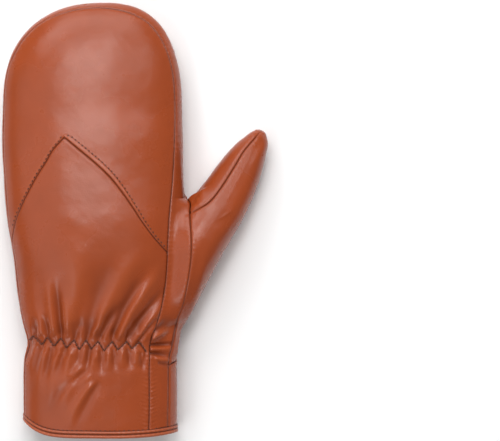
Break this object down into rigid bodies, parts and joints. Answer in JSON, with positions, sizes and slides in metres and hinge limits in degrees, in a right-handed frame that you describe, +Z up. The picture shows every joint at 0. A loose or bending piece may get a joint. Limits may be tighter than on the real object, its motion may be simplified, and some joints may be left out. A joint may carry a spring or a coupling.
{
  "type": "leather mitten",
  "caption": "Hollow leather mitten for the left hand, with a set-in thumb, gathered wrist and rolled hem, lying palm down.",
  "frame": {"origin": "on the surface that the mitten lies on, under the middle of its bounding box", "axes": "+Z up out of the back of the hand, +Y from the cuff to the fingertips, +X towards the thumb"},
  "size_m": [0.1632, 0.2698, 0.0459],
  "materials": {
    "leather": "smooth, soft sheen",
    "leather_edge": "smooth, rolled and stitched",
    "thread": "twisted thread, matt"
  },
  "bodies": {
    "root": {"back_upper": "leather", "back_lower": "leather", "side_band": "leather", "palm": "leather", "thumb": "leather", "hem": "leather_edge"}
  },
  "joints": []
}
